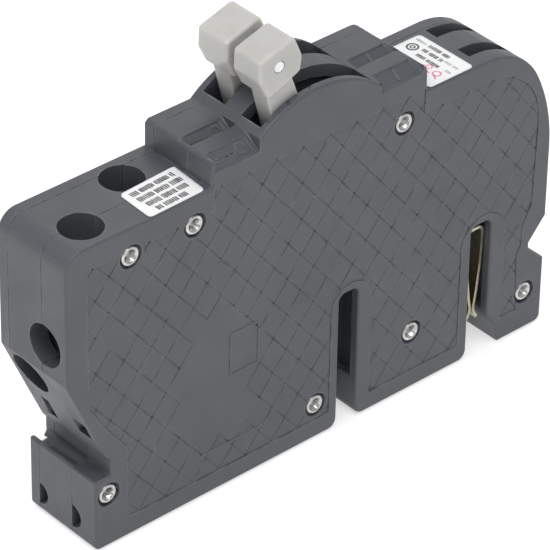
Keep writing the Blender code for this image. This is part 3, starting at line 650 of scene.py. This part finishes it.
def slope_matrix(x, edge_y, low_y):
    """The frame of a sloping face: X along the case, Y up the slope, Z out of it."""
    rise = Vector((0, 1, SLANT)).normalized()
    out = Vector((0, -SLANT, 1)).normalized()
    middle = (edge_y + low_y) / 2
    centre = Vector((x, middle, SHOULDER - SLANT * (edge_y - middle)))
    turn = Matrix((Vector((1, 0, 0)), rise, out)).transposed().to_4x4()
    return Matrix.Translation(centre * MM) @ turn


def rectangle(centre, half_length, half_width):
    u, v = centre
    return [
        (u - half_length, v - half_width), (u + half_length, v - half_width),
        (u + half_length, v + half_width), (u - half_length, v + half_width),
    ]


def rounded_rectangle(half_length, half_width, corner):
    points = []
    u, v = half_length - corner, half_width - corner
    for number, centre in enumerate(((u, v), (-u, v), (-u, -v), (u, -v))):
        points += arc(centre, corner, 90 * number, 90 * (number + 1), 4)
    return points


def add_band(work, middle, outer, inner, low, high):
    """A round band that stands up from one height to another."""
    stations = ((outer, low), (outer, high), (inner, high), (inner, low))
    rings = [[(u, v, h) for u, v in circle((middle, 0), radius, 24)] for radius, h in stations]
    loops = [[work.verts.new(Vector(p) * MM) for p in ring] for ring in rings]
    for low_loop, high_loop in zip(loops, loops[1:] + loops[:1]):
        for i in range(len(low_loop)):
            j = (i + 1) % len(low_loop)
            work.faces.new((low_loop[i], low_loop[j], high_loop[j], high_loop[i]))


TABLET_SINK = 0.22
TABLET_CORNER = 0.4
MARK_ROOT = -TABLET_SINK - 0.1
MARK_TOP = -0.02
MARK_REACH = 1.25
BAR_HALF_WIDTH = 0.25
BAND_WIDTH = 0.4
DASHES = 4
DASH_HALF_LENGTH = 0.42
DASH_HALF_WIDTH = 0.13
DASH_PITCH = 1.15
DASH_DEPTH = 0.2


def mark_slope(moulding, low_x, high_x, edge_y, low_y, is_on):
    """A sunk tablet on the slope, with a raised bar for on, or a raised ring and dashes for off."""
    ends, above, below = 1.0, 0.35, 0.75
    length = high_x - low_x - 2 * ends
    tilt = math.hypot(1, SLANT)
    low_y, edge_y = low_y + below / tilt, edge_y - above / tilt
    width = tilt * (edge_y - low_y)
    lowered = Matrix.Translation((0, 0, -(SLANT * above / tilt) * MM))
    spot = lowered @ slope_matrix((low_x + high_x) / 2, edge_y, low_y)

    def apply(name, work, operation):
        piece = new_object(name, work)
        piece.data.transform(spot)
        combine(moulding, piece, operation)

    ring = rounded_rectangle(length / 2, width / 2, TABLET_CORNER)
    work = bmesh.new()
    floor = [(u, v, -TABLET_SINK) for u, v in offset(ring, 0.1)]
    mouth = [(u, v, 0.5) for u, v in offset(ring, -0.2)]
    add_loft(work, [floor, mouth])
    apply("tablet", work, "DIFFERENCE")

    size = min(MARK_REACH, width / 2 - 0.2)
    work = bmesh.new()
    if is_on:
        bar = rectangle((0, 0), BAR_HALF_WIDTH, size)
        add_loft(work, [[(u, v, h) for u, v in bar] for h in (MARK_ROOT, MARK_TOP)])
    else:
        middle = length / 2 - size - 0.7
        add_band(work, middle, size, size - BAND_WIDTH, MARK_ROOT, MARK_TOP)
    apply("mark", work, "UNION")
    if is_on:
        return

    work = bmesh.new()
    for number in range(DASHES):
        centre = (0.9 - length / 2 + DASH_PITCH * number, -0.3)
        dash = rectangle(centre, DASH_HALF_LENGTH, DASH_HALF_WIDTH)
        heights = (-TABLET_SINK - DASH_DEPTH, 0.3 - TABLET_SINK)
        add_loft(work, [[(u, v, h) for u, v in dash] for h in heights])
    apply("dashes", work, "DIFFERENCE")


# ------------------------------------------------------------------ mouldings


def build_moulding(node, low, high, low_round, high_round):
    points = offset(case_outline(), SKIN)
    return rounded_plate(f"{node}_moulding", points, low, high, low_round, high_round)


def build_case():
    outer = HALF_WIDTH - SKIN
    near = build_moulding("near_cover", -outer, NEAR_SPLIT - SEAM / 2, EDGE_ROUND, SEAM_ROUND)
    middle_ends = (NEAR_SPLIT + SEAM / 2, FAR_SPLIT - SEAM / 2)
    middle = build_moulding("middle_case", *middle_ends, SEAM_ROUND, SEAM_ROUND)
    far = build_moulding("far_cover", -outer, -FAR_SPLIT - SEAM / 2, EDGE_ROUND, SEAM_ROUND)
    cut_panel(near)
    cut_panel(far)
    # The far cover is built facing -Y as well, and then mirrored to its own side.
    far.data.transform(Matrix.Diagonal((1, -1, 1, 1)))
    far.data.flip_normals()
    mouldings = {"near_cover": near, "middle_case": middle, "far_cover": far}
    for node, moulding in mouldings.items():
        combine(moulding, cad_solid(node), "INTERSECT")
    off = (SHOULDER_OFF[0] + 0.7, SHOULDER_OFF[1] + 0.4)
    on = (SHOULDER_ON[0] + 0.7, SHOULDER_ON[1] - 1.2)
    slopes = ((near, SLOPE_TOPS[0], -HALF_WIDTH), (middle, SLOPE_TOPS[1], NEAR_SPLIT))
    for moulding, edge_y, low_y in slopes:
        mark_slope(moulding, *off, edge_y, low_y, False)
        mark_slope(moulding, *on, edge_y, low_y, True)
    for node, moulding in mouldings.items():
        finish_surface(moulding, LOOKS["case_plastic"], "case", node)


# ------------------------------------------------------------------ rivets


# (radius, depth below the top of the rim), from the hollow's end over the rim to the shank
RIVET_SHANK = (1.3, 0.64)
RIVET_PROFILE = (
    (0.3, 1.75), (0.62, 1.7), (0.8, 1.45), (0.86, 1.1), (0.98, 0.8), (1.12, 0.52), (1.26, 0.27),
    (1.38, 0.1), (1.5, 0.02), (1.62, 0.0), (1.76, 0.03), (1.9, 0.12), (2.01, 0.26), (2.06, 0.42),
    (2.04, 0.58), (1.9, 0.63), RIVET_SHANK,
)
RIVET_TOP = HALF_WIDTH - 0.15
TORN_EDGE = 1.4
TORN_SIZE = 0.035
TORN_FULL_DEPTH = 0.4


def build_rivets():
    """Tubular rivets with a rolled rim round a rough hollow."""
    sides = 48
    dice = random.Random(7)
    stations = [(r, -(RIVET_TOP - d), d) for r, d in RIVET_PROFILE]
    stations += [(r, RIVET_TOP - d, d) for r, d in reversed(RIVET_PROFILE)]
    for number, (x, z) in enumerate(RIVETS, 1):
        work = bmesh.new()
        rings = []
        waves = []
        for count in (2, 3, 5, 8):
            waves.append((count, dice.uniform(0, 2 * math.pi), dice.uniform(0.4, 1.0)))
        for radius, y, depth in stations:
            torn = TORN_SIZE * (radius < TORN_EDGE) * min(1.0, depth / TORN_FULL_DEPTH)
            torn *= depth != RIVET_SHANK[1]
            ring = []
            for i in range(sides):
                a = 2 * math.pi * i / sides
                wobble = sum(w * math.cos(count * a + lean + 3 * depth) for count, lean, w in waves)
                size = radius * (1.0 + torn * wobble)
                ring.append((x + size * math.cos(a), y, z + size * math.sin(a)))
            rings.append(ring)
        add_loft(work, rings)
        rivet = new_object(f"rivet_{number}_turned", work)
        finish_surface(rivet, LOOKS["nickel"], "case", f"rivet_{number}", angle=50)


# ------------------------------------------------------------------ labels


PAPER_LIFT = 0.06
PAPER_THICKNESS = 0.12
INK_HEIGHTS = (0.17, 0.2)


def label_sheet(name, corners, top, curl):
    """A thin paper sheet over four corners, with rounded corners and a lightly lifted edge."""
    round_corner = 0.9
    rows, columns = 20, 28
    work = bmesh.new()
    grid = []
    width = math.dist(corners[0], corners[1])
    depth = math.dist(corners[0], corners[3])
    for j in range(rows + 1):
        line = []
        for i in range(columns + 1):
            u, v = i / columns, j / rows
            low = Vector(corners[0]).lerp(Vector(corners[1]), u)
            high = Vector(corners[3]).lerp(Vector(corners[2]), u)
            spot = low.lerp(high, v)
            du = max(0.0, round_corner - min(u, 1 - u) * width)
            dv = max(0.0, round_corner - min(v, 1 - v) * depth)
            over = math.hypot(du, dv)
            if over > round_corner:
                pull = (over - round_corner) / over
                inward = (1 if u < 0.5 else -1, 1 if v < 0.5 else -1)
                spot += Vector((inward[0] * du * pull, inward[1] * dv * pull))
            height = top + PAPER_LIFT + curl(u, v)
            line.append(work.verts.new(Vector((spot.x, spot.y, height)) * MM))
        grid.append(line)
    for j in range(rows):
        for i in range(columns):
            work.faces.new((grid[j][i], grid[j][i + 1], grid[j + 1][i + 1], grid[j + 1][i]))
    sheet = new_object(name, work)
    thick = sheet.modifiers.new("paper", "SOLIDIFY")
    thick.thickness = PAPER_THICKNESS * MM
    thick.offset = 1.0
    return sheet


def print_marks(name, look, strips, top):
    """Thin raised strips of ink: each is (centre x, centre y, length, width, turn in degrees)."""
    work = bmesh.new()
    for x, y, length, width, turn in strips:
        along = Vector((math.cos(math.radians(turn)), math.sin(math.radians(turn)))) * (length / 2)
        side = Vector((-along.y, along.x)).normalized() * (width / 2)
        spot = Vector((x, y))
        ring = [spot - along - side, spot + along - side, spot + along + side, spot - along + side]
        add_loft(work, [[(p.x, p.y, top + h) for p in ring] for h in INK_HEIGHTS])
    marks = new_object(name, work)
    marks.data.materials.append(look)
    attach(marks, "case")


def bar_words(rows, turn, tall, seed):
    """Rows of narrow upright bars, grouped like words, in place of the printed text."""
    dice = random.Random(seed)
    pitch = 0.47
    strips = []
    for start, end in rows:
        path = Vector(end) - Vector(start)
        along = path.normalized()
        done = 0.0
        while done < path.length:
            for _ in range(dice.randint(3, 8)):
                if done >= path.length:
                    break
                spot = Vector(start) + along * done
                height, width = tall * dice.uniform(0.75, 1.0), dice.uniform(0.27, 0.41)
                strips.append((spot.x, spot.y, height, width, turn))
                done += pitch
            done += 0.8 * pitch
    return strips


def ring_mark(centre, radius, width, sides=20):
    """A round printed ring made of short strips."""
    step = 2 * math.pi / sides
    length = 1.02 * radius * step
    strips = []
    for i in range(sides):
        x = centre[0] + radius * math.cos(i * step)
        y = centre[1] + radius * math.sin(i * step)
        strips.append((x, y, length, width, 90 + math.degrees(i * step)))
    return strips


def lifted_end(u, v):
    """The terminal label's last tenth bends up against the shoulder."""
    return 0.16 * max(0.0, 10 * v - 9) ** 2 * (0.4 + u)


def flat_sheet(u, v):
    return 0.0


def build_labels():
    left = [(-40.6, -9.35), (-27.4, -9.0), (-26.8, 0.15), (-40.2, -0.45)]
    sheet = label_sheet("terminal_label_paper", left, TERMINAL_TOP, lifted_end)
    finish_surface(sheet, LOOKS["label_paper"], "case", "terminal_label")
    rows = (
        ((-38.7, -2.0), (-28.2, -1.4)),
        ((-38.6, -4.0), (-28.2, -3.5)),
        ((-38.2, -6.0), (-28.7, -5.6)),
        ((-37.6, -8.0), (-30.6, -7.7)),
    )
    print_marks("terminal_label_print", INK, bar_words(rows, 92.5, 1.45, 3), TERMINAL_TOP)

    right = [(27.0, -9.2), (38.4, -9.2), (38.4, 5.6), (27.0, 5.6)]
    sheet = label_sheet("rating_label_paper", right, NOSE_TOP, flat_sheet)
    finish_surface(sheet, LOOKS["label_paper"], "case", "rating_label")
    mark = (34.3, 3.2)
    rings = ring_mark(mark, 1.1, 0.4) + ring_mark(mark, 0.45, 0.3, 12)
    print_marks("rating_label_ring", INK, rings, NOSE_TOP)
    faint = (((36.8, 4.6), (36.8, 1.9)), ((35.4, -4.6), (35.4, -8.4)), ((33.3, -7.0), (33.3, -8.2)))
    print_marks("rating_label_faint", FAINT_INK, bar_words(faint, 0, 0.8, 5), NOSE_TOP)
    bold = (((36.9, 1.2), (36.9, -4.2)), ((35.1, 1.1), (35.1, -4.2)), ((33.1, 0.6), (33.1, -5.2)))
    print_marks("rating_label_bold", INK, bar_words(bold, 0, 1.05, 6), NOSE_TOP)
    stamp = ring_mark((31.3, -6.6), 0.8, 0.3, 14) + ring_mark((31.9, -3.9), 0.6, 0.3, 12)
    stamp += [(30.2, -7.2, 1.5, 0.3, 60), (31.2, -3.0, 1.4, 0.3, 30), (30.6, -4.9, 1.2, 0.3, 75)]
    print_marks("rating_label_stamp", STAMP, stamp, NOSE_TOP)


# ------------------------------------------------------------------ handles


def rounded_polygon(corners, steps=5):
    """A polygon of (x, z, radius) corners with each corner turned into an arc."""
    points = []
    for before, here, after in zip(corners[-1:] + corners[:-1], corners, corners[1:] + corners[:1]):
        spot = Vector(here[:2])
        first = (Vector(before[:2]) - spot).normalized()
        second = (Vector(after[:2]) - spot).normalized()
        angle = first.angle(second)
        reach = here[2] / math.tan(angle / 2)
        centre = spot + (first + second).normalized() * (here[2] / math.sin(angle / 2))
        start, end = spot + first * reach - centre, spot + second * reach - centre
        sweep = start.angle_signed(end)
        for i in range(steps + 1):
            turned = start.copy()
            turned.rotate(Matrix.Rotation(-sweep * i / steps, 2))
            points.append(tuple(centre + turned))
    return points


def handle_head():
    return rounded_polygon([
        (-14.25, 85.0, 2.0), (-14.1, 89.15, 0.9), (-6.0, 91.6, 1.1),
        (-3.95, 86.9, 3.0), (-4.4, 83.8, 1.2), (-12.0, 80.4, 1.4),
    ])


def handle_leg():
    """The leg's outline, drawn upright about the pivot and then leaned to the off side."""
    hub = 4.9
    lean = math.radians(17.5)
    upright = [(-3.4, 26.0), (-4.0, 14.0)]
    upright += arc((0, 0), hub, 135, 245, 10)
    upright += [(-1.3, -8.3), (1.3, -8.3)]
    upright += arc((0, 0), hub, 295, 405, 10)
    upright += [(3.5, 14.0), (2.9, 26.0)]
    cos, sin = math.cos(lean), math.sin(lean)
    return [(PIVOT[0] + x * cos - z * sin, PIVOT[1] + x * sin + z * cos) for x, z in upright]


GRIP_ENDS = {"near": (-8.38, -0.92), "far": (0.82, 8.88)}
NECK_ENDS = {"near": (-7.58, -3.12), "far": (2.92, 7.38)}
GRIP_ROUND = 0.65
NECK_ROUND = 0.35
PIVOT_BORE = 1.5
TIE_BORE = 1.27
TIE_RADIUS = 1.12
TIE_ENDS = (-8.36, 8.86)
TIE_ROUND = 0.2


def build_handles():
    through = 10
    look = LOOKS["handle_plastic"]
    for pole in ("near", "far"):
        name, ends = f"{pole}_handle_moulded", GRIP_ENDS[pole]
        grip = rounded_plate(name, handle_head(), *ends, GRIP_ROUND, GRIP_ROUND, steps=6)
        ends = NECK_ENDS[pole]
        neck = rounded_plate(f"{pole}_neck", handle_leg(), *ends, NECK_ROUND, NECK_ROUND, steps=3)
        combine(grip, neck, "UNION")
        combine(grip, rod("bore", PIVOT, PIVOT_BORE, -through, through), "DIFFERENCE")
        combine(grip, rod("tie_hole", TIE_PIN, TIE_BORE, -through, through, sides=40), "DIFFERENCE")
        finish_surface(grip, look, "handle", f"{pole}_handle", angle=40)
    outline = circle(TIE_PIN, TIE_RADIUS, 40)
    pin = rounded_plate("handle_tie_pin_moulded", outline, *TIE_ENDS, TIE_ROUND, TIE_ROUND)
    finish_surface(pin, LOOKS["pin_plastic"], "handle", "handle_tie_pin")


# ------------------------------------------------------------------ stage, light and camera


# (name, place in metres, side of the square lamp in metres, power in watts)
LAMPS = (
    ("key", (-0.25, -0.35, 0.95), 0.7, 4.9),
    ("fill", (-0.9, 0.2, 0.6), 0.6, 1.1),
    ("rim", (0.5, 0.5, 0.8), 0.6, 1.4),
    ("top", (-0.35, 0.2, 1.05), 0.6, 1.7),
)
LAMP_TARGET = Vector((0, 0, 0.04))
SKY_STRENGTH = 0.60
FLOOR_SIZE = 3.0
FLOOR_DROP = 0.0004


def build_stage():
    work = bmesh.new()
    bmesh.ops.create_grid(work, x_segments=8, y_segments=8, size=FLOOR_SIZE)
    floor = new_object("floor", work)
    floor.location.z = -FLOOR_DROP
    floor.data.materials.append(floor_look())

    world = bpy.data.worlds.new("studio")
    scene.world = world
    world.use_nodes = True
    sky = world.node_tree.nodes["Background"]
    sky.inputs["Color"].default_value = (1.0, 1.0, 1.0, 1.0)
    sky.inputs["Strength"].default_value = SKY_STRENGTH

    for name, spot, size, power in LAMPS:
        lamp = bpy.data.lights.new(name, "AREA")
        lamp.shape = "SQUARE"
        lamp.size = size
        lamp.energy = power
        holder = bpy.data.objects.new(name, lamp)
        scene.collection.objects.link(holder)
        holder.location = spot
        holder.rotation_euler = (LAMP_TARGET - Vector(spot)).to_track_quat("-Z", "Y").to_euler()


EYE = (-0.43736, -0.48275, 0.49066)
AZIMUTH = math.radians(-42.03)
ELEVATION = math.radians(35.11)
ROLL = math.radians(1.08)
FOCAL_LENGTH = 278.0
SENSOR_WIDTH = 36.0


def build_camera():
    back = Vector((
        math.sin(AZIMUTH) * math.cos(ELEVATION),
        -math.cos(AZIMUTH) * math.cos(ELEVATION),
        math.sin(ELEVATION),
    ))
    level = (-back).cross(Vector((0, 0, 1))).normalized()
    rise = level.cross(-back)
    right = level * math.cos(ROLL) + rise * math.sin(ROLL)
    up = rise * math.cos(ROLL) - level * math.sin(ROLL)
    lens = bpy.data.cameras.new("camera")
    lens.sensor_width = SENSOR_WIDTH
    lens.lens = FOCAL_LENGTH
    lens.clip_start = 0.01
    lens.clip_end = 50.0
    camera = bpy.data.objects.new("camera", lens)
    scene.collection.objects.link(camera)
    camera.matrix_world = Matrix.Translation(EYE) @ Matrix((right, up, back)).transposed().to_4x4()
    scene.camera = camera


build_case()
build_rivets()
build_labels()
build_handles()
build_stage()
build_camera()
